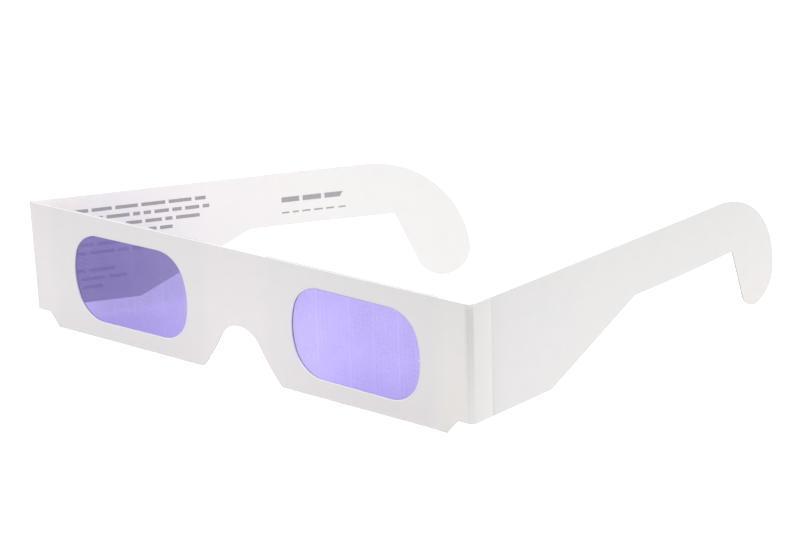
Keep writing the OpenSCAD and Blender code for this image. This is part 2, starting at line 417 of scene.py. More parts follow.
# %% Board on the front and its flaps
FLAP_X_MM = {LEFT: (9.5, 62.6), RIGHT: (-64.6, -11.5)}
SOFT_MM = 2.0
# Painted light: the single ply is a trace lighter than the double, for light that comes through
# the card.
SINGLE_PLY, DOUBLE_PLY = "#E6E2E3", "#E2E0E1"
# Painted shade: from the left flap to the left corner the front is a trace darker.
SHADED_CORNER_PLY, SHADED_CORNER_DOUBLE = "#DFDDDB", "#DCDADB"
FLAP_OUTER, FLAT_INNER = "#F3F1F1", "#F9F7F7"
# Painted shade: the flap's top cut edge is greyer, for the shade in the gap between front and
# flap.
SHADED_FLAP_PULP = "#E4E0E2"
# Painted light: lighter towards the bottom, for light from the bright table.
FRONT_LIGHT_BY_HEIGHT = [(0.0, "#FDFBFA"), (0.5, "#FCFBFB"), (1.0, "#F6F6F6")]
front_stops = [(-HINGE_X_MM, SINGLE_PLY)]
for (low_x, high_x), far_double, far_single in (
        (FLAP_X_MM[RIGHT], DOUBLE_PLY, SINGLE_PLY), (FLAP_X_MM[LEFT], SHADED_CORNER_DOUBLE, SHADED_CORNER_PLY)):
    front_stops += [(low_x - SOFT_MM, SINGLE_PLY), (low_x + SOFT_MM, DOUBLE_PLY),
                    (high_x - SOFT_MM, far_double), (high_x + SOFT_MM, far_single)]
front_stops += [(HINGE_X_MM, SHADED_CORNER_PLY)]
flap_stops, plain_stops = (
    [(-HINGE_X_MM, tone), (HINGE_X_MM, tone)] for tone in (FLAP_OUTER, FLAT_INNER))
dress("front_panel", paperboard(
    "coated_boxboard_front", front_stops, plain_stops,
    OUT_OF_FRONT, MIDDLE, X_AXIS, FRONT_LIGHT_BY_HEIGHT, crease_shaded=True))
flap_board = paperboard(
    "coated_boxboard_flap", flap_stops, plain_stops,
    -OUT_OF_FRONT, MIDDLE, X_AXIS, FRONT_LIGHT_BY_HEIGHT, pulp_up=SHADED_FLAP_PULP)
for side in (LEFT, RIGHT):
    dress(SIDE_NAMES[side] + "_back_flap", flap_board)

# %% [markdown]
# On a temple the ramp runs back from the corner crease. The pale and the grey line
# near 6.5 mm are the edge of the second crease: a painted highlight and painted
# shade beside its groove. The ramps also carry painted light and shade: the outer
# face is darker near the corner, and the inner face is lighter near the corner,
# for light that comes through the card, and darker towards the hook.

# %% Board on the strips and temples
# Painted shade near the corner and after the second crease, with a painted highlight, the pale
# stop at 6.35 mm.
TEMPLE_OUTER = [
    (0.9, "#DEDDDB"), (4.5, "#E1E0DF"), (6.0, "#E3E2E1"), (6.35, "#E7E6E5"), (6.6, "#DFDEDD"),
    (6.8, "#D9D8D7"), (7.4, "#DCDADB"), (12.0, "#E0DEDF"), (45.0, "#E4E3E2"), (95.0, "#E4E3E2"),
    (123.1, "#E5E3E2")]
# Painted light: lighter near the corner, for light that comes through the card.
TEMPLE_INNER = [
    (0.9, "#FFF9F8"), (8.0, "#FFF9F8"), (12.0, "#FCF8F7"), (22.0, "#FCF9F8"), (35.0, "#FDFAF7"),
    (48.0, "#FCF9F6"), (65.0, "#F8F5F2"), (123.1, "#EFEEEC")]
# Painted light: lighter towards the bottom, for light from the bright table.
TEMPLE_LIGHT_BY_HEIGHT = [(0.0, "#FFFDFC"), (0.3, "#FCFBFB"), (0.72, "#F8F8F8"), (1.0, "#F5F5F4")]
for side in (LEFT, RIGHT):
    corner, outward, along = temple_frame(side)
    board = paperboard("coated_boxboard_temple_" + SIDE_NAMES[side], TEMPLE_OUTER, TEMPLE_INNER,
                       outward, corner, along, TEMPLE_LIGHT_BY_HEIGHT)
    dress(SIDE_NAMES[side] + "_hinge_strip", board)
    dress(SIDE_NAMES[side] + "_temple", board)

# %% [markdown]
# ## Rims of the openings
# The die that punches an opening crushes the card's edge, so the rim is a soft roll
# of bare pulp and not a sharp corner. Its colour is painted light and shade: it is
# whitest along the foot of the opening, a painted highlight, and greyer up the
# sides and darkest at the top, painted shade. Each rim is a thin skin over the cut:
# a short profile is carried round the opening's outline, which is four corner arcs
# joined by the large arcs of the upright sides and by two straight lines. U of the
# UV map runs across the profile, and V is 1 at the foot and 0 at the top.

# %% Outline of an opening
EYE_PITCH_MM, EYE_W_MM, EYE_H_MM = 74.6, 39.8, 24.8
EYE_R_MM, EYE_SIDE_R_MM = 8.8, 21.3
EYE_DROOP = math.radians(0.7)
SIDE_STEPS, CORNER_STEPS, STRAIGHT_STEPS = 10, 18, 12


def opening_outline(side):
    """Points round an opening, each with its direction out of it, in X and Z, in mm."""
    side_middle, corner_z = EYE_W_MM / 2 - EYE_SIDE_R_MM, EYE_H_MM / 2 - EYE_R_MM
    corner_x = side_middle + math.sqrt((EYE_SIDE_R_MM - EYE_R_MM) ** 2 - corner_z ** 2)
    touch = math.atan2(corner_z, corner_x - side_middle)
    quarter = []
    for middle_x, middle_z, radius, first, last, steps in (
            (side_middle, 0.0, EYE_SIDE_R_MM, 0.0, touch, SIDE_STEPS),
            (corner_x, corner_z, EYE_R_MM, touch, math.pi / 2, CORNER_STEPS)):
        for step in range(steps):
            turn = first + (last - first) * step / steps
            out_x, out_z = math.cos(turn), math.sin(turn)
            quarter.append((middle_x + out_x * radius, middle_z + out_z * radius, out_x, out_z))
    quarter += [(corner_x * (1 - step / STRAIGHT_STEPS), EYE_H_MM / 2, 0.0, 1.0)
                for step in range(STRAIGHT_STEPS + 1)]
    upper = quarter + [(-x, z, -out_x, out_z) for x, z, out_x, out_z in quarter[-2::-1]]
    whole = upper + [(x, -z, out_x, -out_z) for x, z, out_x, out_z in upper[-2:0:-1]]
    cos_droop, sin_droop = math.cos(EYE_DROOP), math.sin(EYE_DROOP)
    rows = []
    for x, z, out_x, out_z in whole:
        place, out = (Vector((side * (a * cos_droop + b * sin_droop),
                              b * cos_droop - a * sin_droop)) for a, b in ((x, z), (out_x, out_z)))
        rows.append((place + Vector((side * EYE_PITCH_MM / 2, 0)), out))
    return rows


print("points round an opening:", len(opening_outline(LEFT)))

# %% Rim material
# Painted shade and highlight: dark at the top of the rim, V 0, white at its foot, V 1.
RIM_PULP_AND_SHADE = {
    LEFT: [(0.0, "#5E5964"), (0.2, "#6E6974"), (0.35, "#958F97"), (0.55, "#BFBABE"),
           (0.68, "#E6E3E5"), (0.8, "#FFFDFE")],
    RIGHT: [(0.0, "#A49FA6"), (0.3, "#B0ABB0"), (0.55, "#D4D0D3"), (0.68, "#ECE9EB"),
            (0.8, "#FFFDFE")]}
BARE_AND_HIGHLIGHT_AT_FOOT = [(0.5, "#FFFFFF"), (0.6, "#808080"), (0.8, "#000000")]
BARE_AND_SHADE_AT_SIDE = [(0.35, "#FFFFFF"), (0.45, "#000000")]
BARE_AND_SHADE_AT_TOP = {LEFT: [(0.45, "#FFFFFF"), (0.55, "#000000")],
               RIGHT: [(0.35, "#FFFFFF"), (0.45, "#000000")]}


def punched_board(side):
    """Bare pulp with painted shade, darker the higher it stands, and a painted highlight
    at the foot, that gives way to the coating across the lip. How far across the lip
    it reaches differs at the foot, the side and the top."""
    material, tree, place = new_material("punched_boxboard_rim_" + SIDE_NAMES[side])
    coating = coat_and_painted_light(tree, place, MIDDLE, X_AXIS, front_stops, FRONT_LIGHT_BY_HEIGHT)
    axes = add_node(tree, "ShaderNodeSeparateXYZ", {0: place["UV"]})
    across, towards_foot = axes.outputs["X"], axes.outputs["Y"]
    pulp = add_node(tree, "ShaderNodeValToRGB", {"Fac": towards_foot}, stops=RIM_PULP_AND_SHADE[side])
    at_foot, at_side, at_top = (
        add_node(tree, "ShaderNodeValToRGB", {"Fac": across}, stops=stops)
        for stops in (BARE_AND_HIGHLIGHT_AT_FOOT, BARE_AND_SHADE_AT_SIDE, BARE_AND_SHADE_AT_TOP[side]))
    high = add_node(tree, "ShaderNodeMapRange", {
        "Value": towards_foot, "From Min": 0.45, "From Max": 0.25})
    low = add_node(tree, "ShaderNodeMapRange", {
        "Value": towards_foot, "From Min": 0.6, "From Max": 0.9})
    bare = add_node(tree, "ShaderNodeMix", {
        "Factor": high, "A": at_side, "B": at_top}, data_type="RGBA")
    bare = add_node(tree, "ShaderNodeMix", {
        "Factor": low, "A": bare, "B": at_foot}, data_type="RGBA")
    colour = add_node(tree, "ShaderNodeMix", {
        "Factor": bare, "A": coating, "B": pulp}, data_type="RGBA")
    board = add_node(tree, "ShaderNodeBsdfPrincipled", {
        "Base Color": colour, "Roughness": 0.8, "IOR": BOARD_IOR})
    add_node(tree, "ShaderNodeOutputMaterial", {"Surface": board})
    return material


rim_boards = {side: punched_board(side) for side in (LEFT, RIGHT)}
print("rim materials:", [board.name for board in rim_boards.values()])

# %% Rims
RIM_PROFILE = [  # into the board and back from its face, in mm, with U
    (-0.020, 0.440, 0.0), (-0.060, 0.100, 0.3), (-0.050, 0.020, 0.4), (0.000, -0.014, 0.5),
    (0.110, -0.018, 0.6), (0.300, -0.012, 0.8), (0.500, 0.003, 1.0), (0.100, 0.100, 0.5)]
RIM_SHARP_DEGREES = 60


def add_rim(side):
    bm = bmesh.new()
    bm.loops.layers.uv.new("rim")
    uv_places, rings = {}, []
    for spot, out in opening_outline(side):
        ring = []
        for depth, back, u in RIM_PROFILE:
            edge = spot + out * depth
            vert = bm.verts.new((edge.x * MM, back * MM, edge.y * MM))
            uv_places[vert] = (u, (1 - out.y) / 2)
            ring.append(vert)
        rings.append(ring)
    for ring, following in zip(rings, rings[1:] + rings[:1]):
        for i in range(len(ring)):
            j = (i + 1) % len(ring)
            bm.faces.new((ring[i], ring[j], following[j], following[i]))
    piece = add_piece(SIDE_NAMES[side] + "_opening_rim", bm, [rim_boards[side]],
                      uv_places, RIM_SHARP_DEGREES)
    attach(piece, "front")


for side in (LEFT, RIGHT):
    add_rim(side)

# %% [markdown]
# The die left one small tuft of fibres standing in the left opening, on the side
# towards the temple. It is a tapered, slightly curved tube of rings, closed by a
# point, with its root in the rim.

# %% Loose fibre on the left rim
FIBRE_ROOT_MM = Vector((57.36, 0.06, -0.06))
FIBRE_REACH_MM = 0.65
FIBRE_WIDE_MM, FIBRE_THICK_MM = 0.13, 0.06
FIBRE_OUTWARDS, FIBRE_UPWARDS = -0.3, 0.1
FIBRE_RINGS, FIBRE_SIDES = 6, 8
FIBRE_UV = (0.3, 0.9)  # bare pulp, as at the foot of the rim, with its painted highlight


def fibre_middle(share):
    """The fibre's middle line, which curves out of the opening, from root, 0, to tip, 1."""
    return FIBRE_ROOT_MM + FIBRE_REACH_MM * Vector((
        -share, FIBRE_OUTWARDS * share * share, FIBRE_UPWARDS * share))


bm = bmesh.new()
bm.loops.layers.uv.new("rim")
spokes = [Vector((0, FIBRE_THICK_MM * math.cos(turn), FIBRE_WIDE_MM * math.sin(turn)))
          for turn in (2 * math.pi * k / FIBRE_SIDES for k in range(FIBRE_SIDES))]
rings = []
for step in range(FIBRE_RINGS):
    share = step / FIBRE_RINGS
    rings.append([bm.verts.new((fibre_middle(share) + math.sqrt(1 - share) * spoke) * MM)
                  for spoke in spokes])
tip = bm.verts.new(fibre_middle(1) * MM)
for ring, following in zip(rings, rings[1:]):
    for k in range(FIBRE_SIDES):
        bm.faces.new((ring[k], ring[k - 1], following[k - 1], following[k]))
for k in range(FIBRE_SIDES):
    bm.faces.new((rings[-1][k], rings[-1][k - 1], tip))
bm.faces.new(rings[0])
fibre = add_piece("loose_fibre", bm, [rim_boards[LEFT]], {vert: FIBRE_UV for vert in bm.verts})
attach(fibre, "front")

# %% [markdown]
# ## Creased board
# A crease is pressed with a blunt steel rule before the card is folded. It leaves
# two fine grooves at the edges of the bend on the outside, where the coating is
# stretched and looks a little grey, and a bead on the inside. The creases bend
# when a temple turns. Each is its own piece of mesh, wide enough to hold grooves
# and bead, between the two panels that it joins. The colour follows the piece's
# own UV map: U across the bend, V up the card. Most of the grey on the left
# corner crease and on the temples' second creases is painted shade. At the top end
# the coating is rubbed off a little, and at the foot the left corner crease is
# paler, with less painted shade.

# %% Creased board material
CRACK_MM = 0.5
CRACK_LOW, CRACK_HIGH = 0.95, 1.03
CRACK_RELIEF, CRACK_RELIEF_MM = 0.3, 0.03
CREASE_ROUGH = 0.65
CREASE_EDGE = "#E2E0DF"
WORN_START = 0.955
FOOT_START, FOOT_END = 0.1, 0.8


def finish_cracked(tree, colour, cracks):
    """Ends a creased board's material: cracks in the coating give a fine relief."""
    relief = add_node(tree, "ShaderNodeBump", {
        "Strength": CRACK_RELIEF, "Distance": CRACK_RELIEF_MM * MM, "Height": cracks})
    board = add_node(tree, "ShaderNodeBsdfPrincipled", {
        "Base Color": colour, "Roughness": CREASE_ROUGH, "Normal": relief, "IOR": BOARD_IOR})
    add_node(tree, "ShaderNodeOutputMaterial", {"Surface": board})


def creased_board(name, stops, foot_stops=None, worn=0.6):
    """stops: the colour across the bend, from 0 at one side to 1 at the other.
    foot_stops: the same at the bottom end, if it differs there.
    worn: how far the top end takes the colour of a worn edge."""
    material, tree, place = new_material(name)
    axes = add_node(tree, "ShaderNodeSeparateXYZ", {0: place["UV"]})
    across, up = axes.outputs["X"], axes.outputs["Y"]
    bent = add_node(tree, "ShaderNodeValToRGB", {"Fac": across}, stops=stops)
    if foot_stops:
        foot = add_node(tree, "ShaderNodeValToRGB", {"Fac": across}, stops=foot_stops)
        height = add_node(tree, "ShaderNodeMapRange", {
            "Value": up, "From Min": FOOT_START, "From Max": FOOT_END})
        bent = add_node(tree, "ShaderNodeMix", {
            "Factor": height, "A": foot, "B": bent}, data_type="RGBA")
    faded = add_node(tree, "ShaderNodeMapRange", {
        "Value": up, "From Min": WORN_START, "To Max": worn})
    colour = add_node(tree, "ShaderNodeMix", {
        "Factor": faded, "A": bent, "B": linear(CREASE_EDGE)}, data_type="RGBA")
    cracks = add_node(tree, "ShaderNodeTexNoise", {
        "Vector": place["Object"], "Scale": 1 / (CRACK_MM * MM), "Detail": 4.0})
    uneven = add_node(tree, "ShaderNodeMapRange", {
        "Value": cracks, "To Min": CRACK_LOW, "To Max": CRACK_HIGH})
    colour = add_node(tree, "ShaderNodeVectorMath", {
        0: colour, "Scale": uneven}, operation="SCALE")
    finish_cracked(tree, colour, cracks)
    return material


# %% A strip of bent card as a mesh
LUG_Z_MM = -13.5
CREASE_ROWS = 40
CREASE_SHARP_DEGREES = 40


def bent_card(name, outer_board, inner_board, profile, columns):
    """profile(share): the outer and the inner point, in mm, at a share of the way across."""
    bm = bmesh.new()
    bm.loops.layers.uv.new("crease")
    outer, inner = [], []
    uv_places = {}
    for row in range(CREASE_ROWS + 1):
        height = row / CREASE_ROWS
        z = LUG_Z_MM + (TOP_Z_MM - LUG_Z_MM) * height
        for k, skin in enumerate((outer, inner)):
            skin.append([])
            for column in range(columns + 1):
                point = profile(column / columns)[k]
                vert = bm.verts.new((point[0] * MM, point[1] * MM, z * MM))
                uv_places[vert] = (column / columns, height)
                skin[-1].append(vert)
    for slot, skin in enumerate((outer, inner)):
        for r in range(CREASE_ROWS):
            for c in range(columns):
                face = bm.faces.new(
                    (skin[r][c], skin[r][c + 1], skin[r + 1][c + 1], skin[r + 1][c]))
                face.material_index = slot
    for r in range(CREASE_ROWS):
        for c in (0, columns):
            bm.faces.new((outer[r][c], outer[r + 1][c], inner[r + 1][c], inner[r][c]))
    for c in range(columns):
        for r in (0, CREASE_ROWS):
            bm.faces.new((outer[r][c], outer[r][c + 1], inner[r][c + 1], inner[r][c]))
    return add_piece(name, bm, [outer_board, inner_board], uv_places, CREASE_SHARP_DEGREES)


def dip(share, middle, half):
    """A smooth valley: 1 in the middle, 0 from half away on."""
    t = min(1.0, abs(share - middle) / half)
    return (1 - t * t) ** 2


# %% Line of a corner crease
STRAIGHT_SHARE = 0.15
STRAIGHT_LEAST_MM = 0.01


def rounded_corner(side, offset, radius):
    """The line of a card face that lies offset, in mm, outside the inner face. It gives the
    point and the outward direction at a share of the way, for the +X side."""
    bend = math.radians(180 - OPEN_DEGREES[side])
    tangent = radius * math.tan(bend / 2)
    corner_x = HINGE_X_MM + offset * math.tan(bend / 2)
    arc_centre = Vector((corner_x - tangent, CARD_MM - offset + radius))
    along_front, along_strip = Vector((1, 0)), Vector((math.cos(bend), math.sin(bend)))
    straight = corner_x - tangent - (HINGE_X_MM - CREASE_HALF_MM)
    edge = STRAIGHT_SHARE if straight > STRAIGHT_LEAST_MM else 0.0

    def at(share):
        turn = bend * min(1.0, max(0.0, (share - edge) / (1 - 2 * edge)))
        out = Vector((math.sin(turn), -math.cos(turn)))
        point = arc_centre + out * radius
        if share < edge:
            point -= along_front * straight * (1 - share / edge)
        elif share > 1 - edge:
            point += along_strip * straight * (1 - (1 - share) / edge)
        return point, out

    return at


# %% Boards of the corner creases
# Painted shade: the left corner crease is much greyer than the board beside it, with a little grey
# of stretched coating; its foot_stops are paler, with less painted shade.
corner_boards = {
    LEFT: creased_board("creased_boxboard_corner", [
        (0.0, "#CBC8C7"), (0.12, "#C8C5C4"), (0.3, "#CBC9C8"), (0.55, "#C9C7C6"),
        (0.7, "#CAC8C7"), (0.82, "#D0CECD"), (0.92, "#D8D6D5"), (1.0, "#DEDCDB")],
        foot_stops=[(0.0, "#DBD9D8"), (0.3, "#DBD9D8"), (0.7, "#DBD9D8"), (1.0, "#E1DFDE")]),
    RIGHT: creased_board("creased_boxboard_sharp_corner", [
        (0.0, "#E4E0E0"), (0.5, "#EAE6E7"), (1.0, "#E4E2E0")])}
# Painted shade in the inside corner of the fold: the middle of the inner face is a trace darker.
corner_inner_board = creased_board("creased_boxboard_inner", [
    (0.0, "#FDF8F7"), (0.5, "#F6F0F0"), (1.0, "#FFF9F8")], worn=0.0)
print("corner materials:", [board.name for board in corner_boards.values()])

# %% Corner creases
GROOVE_MM = 0.06
GROOVES = (0.13, 0.87)
GROOVE_HALF = 0.12
BEAD_MM = 0.10
BEAD_HALF = 0.35
SHARP_RADIUS_MM = 0.08
CORNER_COLUMNS = 32


def corner_crease(side, outer_radius, inner_radius):
    outer_line = rounded_corner(side, CARD_MM, outer_radius)
    inner_line = rounded_corner(side, 0, inner_radius)

    def profile(share):
        outer, out = outer_line(share)
        outer -= out * GROOVE_MM * max(dip(share, middle, GROOVE_HALF) for middle in GROOVES)
        inner, out = inner_line(share)
        inner -= out * BEAD_MM * dip(share, 0.5, BEAD_HALF)
        return (side * outer.x, outer.y), (side * inner.x, inner.y)

    name = SIDE_NAMES[side] + "_corner_crease"
    piece = bent_card(name + "_bent", corner_boards[side], corner_inner_board, profile,
                      CORNER_COLUMNS)
    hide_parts(name)
    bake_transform(piece)


left_bend = math.radians(180 - OPEN_DEGREES[LEFT])
soft_radius = CREASE_HALF_MM / math.tan(left_bend / 2)
corner_crease(LEFT, outer_radius=soft_radius + CARD_MM, inner_radius=soft_radius)
corner_crease(RIGHT, outer_radius=CARD_MM, inner_radius=SHARP_RADIUS_MM)

# %% Temple creases
STRIP_MM = 7.1
SCORE_HALF_MM = 0.3
SCORE_DEPTH_MM = 0.12
SCORE_MIDDLE = 0.35
SCORE_STEEP_HALF, SCORE_GENTLE_HALF = 0.2, 0.55
SCORE_BEAD_MM = 0.015
SCORE_BEAD_HALF = 0.4
SCORE_COLUMNS = 12
# Painted shade in the groove of each temple's second crease.
score_board = creased_board("creased_boxboard_temple", [
    (0.0, "#D9D8D7"), (0.3, "#D9D7D7"), (1.0, "#D9D7D8")])
score_inner = creased_board("creased_boxboard_temple_inner", [
    (0.0, "#FFF9F8"), (1.0, "#FFF9F8")], worn=0.0)


def temple_crease(side):
    corner, outward, along = temple_frame(side)

    def profile(share):
        s = STRIP_MM + SCORE_HALF_MM * (2 * share - 1)
        half = SCORE_GENTLE_HALF if share > SCORE_MIDDLE else SCORE_STEEP_HALF
        groove = SCORE_DEPTH_MM * dip(share, SCORE_MIDDLE, half)
        bead = SCORE_BEAD_MM * dip(share, 0.5, SCORE_BEAD_HALF)
        outer = corner + along * s + outward * (CARD_MM - groove)
        inner = corner + along * s - outward * bead
        return outer.xy, inner.xy

    name = SIDE_NAMES[side] + "_temple_crease"
    piece = bent_card(name + "_bent", score_board, score_inner, profile, SCORE_COLUMNS)
    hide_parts(name)
    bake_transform(piece)


for side in (LEFT, RIGHT):
    temple_crease(side)

# %% [markdown]
# ## Bottom folds
# Below each eye the card is rolled round and flattened, so the fold's outside is
# stretched like a crease's. The CAD node has the right shape. Its board is the
# creased one in plain: fine cracks along the fold, and pulp at the two cut ends,
# which are the only faces that look along X.

# %% Rolled board material
CRACK_STRETCH = (0.2, 1, 1)
material, tree, place = new_material("rolled_boxboard_fold")
lean = add_node(tree, "ShaderNodeVectorMath", {
    0: place["Normal"], 1: X_AXIS}, operation="DOT_PRODUCT")
turned = add_node(tree, "ShaderNodeMath", {0: lean}, operation="ABSOLUTE")
is_cut = add_node(tree, "ShaderNodeMath", {0: turned, 1: FACE_MIN}, operation="GREATER_THAN")
stretched = add_node(tree, "ShaderNodeMapping", {
    "Vector": place["Object"], "Scale": CRACK_STRETCH})
cracks = add_node(tree, "ShaderNodeTexNoise", {
    "Vector": stretched, "Scale": 1 / (CRACK_MM * MM), "Detail": 4.0})
cracked = add_node(tree, "ShaderNodeMix", {
    "Factor": cracks, "A": linear("#E0DEDE"), "B": linear("#EEECEC")}, data_type="RGBA")
colour = add_node(tree, "ShaderNodeMix", {
    "Factor": is_cut, "A": cracked, "B": linear(LIT_PULP)}, data_type="RGBA")
finish_cracked(tree, colour, cracks)
for side in (LEFT, RIGHT):
    dress(SIDE_NAMES[side] + "_bottom_fold", material)

# %% [markdown]
# ## Glue
# A thin, clear coat of dried white glue between film and flap. Only its edge shows,
# inside the openings and at the rim of the flap. Small bubbles make it milky in
# places.

# %% Glue material
BUBBLE_MM = 5 / 6  # about 0.8
MILKY_LOW, MILKY_HIGH = 0.35, 0.75
material, tree, place = new_material("dried_white_glue")
bubbles = add_node(tree, "ShaderNodeTexNoise", {
    "Vector": place["Object"], "Scale": 1 / (BUBBLE_MM * MM), "Detail": 2.0})
milky = add_node(tree, "ShaderNodeMapRange", {
    "Value": bubbles, "To Min": MILKY_LOW, "To Max": MILKY_HIGH})
clear = add_node(tree, "ShaderNodeBsdfTransparent", {"Color": linear("#F8F6EE")})
glue = add_node(tree, "ShaderNodeBsdfPrincipled", {
    "Base Color": linear("#EFEBDD"), "Roughness": 0.3, "IOR": 1.47})
both = add_node(tree, "ShaderNodeMixShader", {"Fac": milky, 1: clear, 2: glue})
add_node(tree, "ShaderNodeOutputMaterial", {"Surface": both})
for side in (LEFT, RIGHT):
    dress(SIDE_NAMES[side] + "_glue_coat", material)

# %% [markdown]
# ## Film
# Embossed polyester film, tinted violet. Its grooves are far too fine to show, but
# the stamp that pressed them does: it has square cells of 1.26 mm, with lines that
# let a little more light through and rows that let through a little less. Brighter
# seams run up the film after 8, 6 and 6 cells. The tint acts where light enters
# and again where it leaves, so each face takes the square root of the whole tint.

# %% Film values
CELL_MM = 1.2635
CELLS_PER_REPEAT = 20
SEAM_CELLS = (0, 8, 14)
SEAM_HALF = 0.009
LINE_STOPS = [(0.1, "#FFFFFF"), (0.35, "#000000"), (0.75, "#202020"), (0.95, "#FFFFFF")]
ROW_STOPS = [(0.05, "#000000"), (0.25, "#FFFFFF"), (0.75, "#FFFFFF"), (0.95, "#000000")]
SPECK_MM = 0.3
BLOTCH_MM = 50 / 7  # about 7
SHADED_MM = 45
TINT = "#CCC6E5"
CLEAR_LEAST = 0.897
BLOTCH_SHARE, SPECK_SHARE, SEAM_SHARE, LINE_SHARE, ROW_SHARE = 0.06, 0.15, 0.036, 0.015, 0.017
SKIN_SHARE = 0.09
seam_stops = []
for cell in SEAM_CELLS + (CELLS_PER_REPEAT,):
    middle = cell / CELLS_PER_REPEAT
    seam_stops += [(middle - SEAM_HALF, "#000000"), (middle, "#FFFFFF"),
                   (middle + SEAM_HALF, "#000000")]
seam_stops = [stop for stop in seam_stops if 0 <= stop[0] <= 1]
print("repeat in mm:", round(CELL_MM * CELLS_PER_REPEAT, 2))

# %% Film material
def repeating_tone(tree, value, length_mm, stops):
    """A colour ramp that starts again after each length."""
    share = add_node(tree, "ShaderNodeMath", {0: value, 1: length_mm * MM}, operation="DIVIDE")
    part = add_node(tree, "ShaderNodeMath", {0: share}, operation="FRACT")
    return add_node(tree, "ShaderNodeValToRGB", {"Fac": part}, stops=stops)


def embossed_film(name, first_seam_mm, first_row_mm, shades):
    """first_seam_mm: X of a seam that starts a repeat. first_row_mm: Z of a row.
    shades: how clear the film is along X from that seam on, as greys: the film's own
    evenness, with painted light and shade of what is seen through it."""
    material, tree, place = new_material(name)
    axes = add_node(tree, "ShaderNodeSeparateXYZ", {0: place["Object"]})
    along = add_node(tree, "ShaderNodeMath", {
        0: axes.outputs["X"], 1: first_seam_mm * MM}, operation="SUBTRACT")
    upwards = add_node(tree, "ShaderNodeMath", {
        0: axes.outputs["Z"], 1: first_row_mm * MM}, operation="SUBTRACT")
    seams = repeating_tone(tree, along, CELL_MM * CELLS_PER_REPEAT, seam_stops)
    lines = repeating_tone(tree, along, CELL_MM, LINE_STOPS)
    rows = repeating_tone(tree, upwards, CELL_MM, ROW_STOPS)
    shaded = add_node(tree, "ShaderNodeMapRange", {
        "Value": along, "From Max": SHADED_MM * MM})
    clearness_and_painted_light = add_node(tree, "ShaderNodeValToRGB", {"Fac": shaded}, stops=shades)
    blotches = add_node(tree, "ShaderNodeTexNoise", {
        "Vector": place["Object"], "Scale": 1 / (BLOTCH_MM * MM), "Detail": 2.0})
    specks = add_node(tree, "ShaderNodeTexNoise", {
        "Vector": place["Object"], "Scale": 1 / (SPECK_MM * MM), "Detail": 1.0})
    clear = CLEAR_LEAST
    for value, share in ((blotches, BLOTCH_SHARE), (specks, SPECK_SHARE), (seams, SEAM_SHARE),
                         (lines, LINE_SHARE), (rows, ROW_SHARE)):
        clear = add_node(tree, "ShaderNodeMath", {
            0: value, 1: share, 2: clear}, operation="MULTIPLY_ADD")
    clear = add_node(tree, "ShaderNodeMath", {0: clearness_and_painted_light, 1: clear}, operation="MULTIPLY")
    tint = add_node(tree, "ShaderNodeVectorMath", {
        0: linear(TINT)[:3], "Scale": clear}, operation="SCALE")
    through = add_node(tree, "ShaderNodeBsdfTransparent", {"Color": tint})
    skin = add_node(tree, "ShaderNodeBsdfPrincipled", {
        "Base Color": linear("#8F7FE0"), "Roughness": 0.25, "IOR": 1.55})
    both = add_node(tree, "ShaderNodeMixShader", {"Fac": SKIN_SHARE, 1: through, 2: skin})
    add_node(tree, "ShaderNodeOutputMaterial", {"Surface": both})
    return material


# The shades carry painted light and shade of the table and the temple seen through the film.
for side, first_seam_mm, first_row_mm, shades in (
        (LEFT, 25.2, 0.54, [(0, "#FBFBFB"), (0.1, "#F9F9F9"), (0.25, "#F6F6F6"),
                            (0.35, "#F4F4F4"), (0.55, "#F5F5F5"), (0.63, "#F3F3F3")]),
        (RIGHT, -61.67, 0.8, [(0.15, "#FFFFFF"), (0.4, "#FAFAFA")])):
    name = "tinted_polyester_film_" + SIDE_NAMES[side]
    dress(SIDE_NAMES[side] + "_lens_film",
          embossed_film(name, first_seam_mm, first_row_mm, shades))

# %% [markdown]
# ## Printed strokes
# The inner face of the right temple is the printed side. Its print is only blocks
# of plain grey strokes as long as words, which say nothing. They repeat by a rule,
# so Geometry Nodes lay them out: each stroke gets a random length, the lengths of
# a row are added up to place them side by side, and what runs past the row's
# ragged end is deleted. The same tree then bends the block on to the temple, which
# bows gently inwards past its middle.

# %% Ink material
def offset_ink(name, dark, pale):
    """Thin matt ink that lets the board's fibres show a little."""
    material, tree, place = new_material(name)
    grains = add_node(tree, "ShaderNodeTexNoise", {
        "Vector": place["Object"], "Scale": 1 / (FIBRE_MM * MM), "Detail": 2.0})
    inked = add_node(tree, "ShaderNodeMix", {
        "Factor": grains, "A": linear(dark), "B": linear(pale)}, data_type="RGBA")
    ink = add_node(tree, "ShaderNodeBsdfPrincipled", {
        "Base Color": inked, "Roughness": 0.6, "IOR": 1.5})
    add_node(tree, "ShaderNodeOutputMaterial", {"Surface": ink})
    return material


grey_ink = offset_ink("matt_grey_offset_ink", "#9A9699", "#B8B4B7")
pale_ink = offset_ink("matt_pale_grey_offset_ink", "#DDDADD", "#E8E5E8")
inks = [grey_ink, pale_ink]
print("inks:", [ink.name for ink in inks])

# %% Inputs of the strokes tree
strokes_tree = bpy.data.node_groups.new("rows_of_strokes", "GeometryNodeTree")
OTHER_INPUTS = {"Geometry": "Geometry", "Rows": "Int", "Strokes in a row": "Int", "Seed": "Int",
                "Ink": "Material"}
LENGTH_INPUTS = ("Row pitch", "Shortest stroke", "Longest stroke", "Gap", "Stroke height",
                 "Ink thickness", "Shortest row", "Longest row", "First along", "First up")
socket_names = {}
for name in (*OTHER_INPUTS, *LENGTH_INPUTS):
    kind = OTHER_INPUTS.get(name, "Float")
    socket_names[name] = strokes_tree.interface.new_socket(
        name, in_out="INPUT", socket_type="NodeSocket" + kind).identifier
strokes_tree.interface.new_socket("Geometry", in_out="OUTPUT", socket_type="NodeSocketGeometry")
print("input sockets:", len(socket_names))

